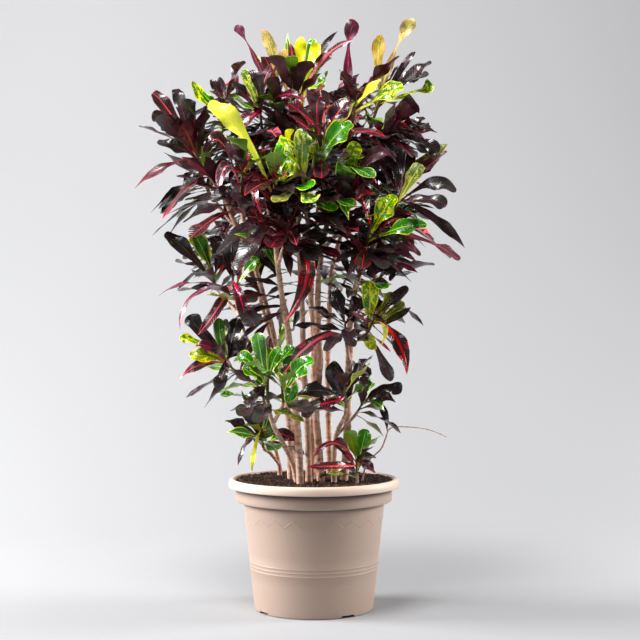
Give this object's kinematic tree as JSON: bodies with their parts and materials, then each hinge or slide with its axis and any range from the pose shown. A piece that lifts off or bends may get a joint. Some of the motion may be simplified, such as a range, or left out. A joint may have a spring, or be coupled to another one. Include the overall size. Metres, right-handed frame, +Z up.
{
  "type": "potted croton",
  "caption": "Bushy croton with waved dark, red, green and yellow leaves on woody stems in a round tapered pot with a rolled lip and soil.",
  "frame": {"origin": "centre of the pot's flat underside, on the surface that it stands on", "axes": "+Z up along the pot's axis and the plant's height, +X to the right and -Y towards the viewer in the front view"},
  "size_m": [0.6472, 0.4595, 1.1573],
  "materials": {
    "bark": "grey-brown bark with leaf scars",
    "leaf_dark": "glossy near-black green and purple leaf",
    "leaf_green": "glossy fresh green leaf",
    "leaf_lime": "green leaf with yellow midrib and margin",
    "leaf_ochre": "ochre to orange young leaf",
    "leaf_olive": "olive green leaf",
    "leaf_redrib": "glossy dark leaf with a red midrib and margin",
    "leaf_yellow": "bright yellow young leaf",
    "pot_plastic": "matt taupe plastic",
    "soil": null
  },
  "bodies": {
    "root": {"pot": "pot_plastic", "soil": "soil", "trunk_01": "bark", "trunk_02": "bark", "trunk_03": "bark", "trunk_04": "bark", "trunk_05": "bark", "trunk_06": "bark", "trunk_07": "bark", "trunk_08": "bark", "trunk_09": "bark", "trunk_10": "bark", "trunk_11": "bark", "trunk_12": "bark", "trunk_13": "bark", "twig": "bark", "shoot_01": "leaf_green", "shoot_02": "leaf_dark", "shoot_03": "leaf_green", "shoot_04": "leaf_green", "shoot_05": "leaf_redrib", "shoot_06": "leaf_green", "shoot_07": "leaf_lime", "shoot_08": "leaf_green", "shoot_09": "leaf_redrib", "shoot_10": "leaf_redrib", "shoot_11": "leaf_dark", "shoot_12": "leaf_ochre", "shoot_13": "leaf_green", "shoot_14": "leaf_yellow", "shoot_15": "leaf_dark", "shoot_16": "leaf_redrib", "shoot_17": "leaf_ochre", "shoot_18": "leaf_olive", "shoot_19": "leaf_redrib", "shoot_20": "leaf_redrib", "shoot_21": "leaf_dark", "shoot_22": "leaf_dark", "shoot_23": "leaf_dark", "shoot_24": "leaf_dark", "shoot_25": "leaf_dark", "shoot_26": "leaf_green", "shoot_27": "leaf_dark", "shoot_28": "leaf_olive", "shoot_29": "leaf_dark", "shoot_30": "leaf_dark", "shoot_31": "leaf_dark", "shoot_32": "leaf_lime", "shoot_33": "leaf_dark", "shoot_34": "leaf_green", "shoot_35": "leaf_dark", "shoot_36": "leaf_dark", "shoot_37": "leaf_redrib", "shoot_38": "leaf_redrib", "shoot_39": "leaf_dark", "shoot_40": "leaf_dark", "shoot_41": "leaf_redrib", "shoot_42": "leaf_green", "shoot_43": "leaf_dark"}
  },
  "joints": []
}
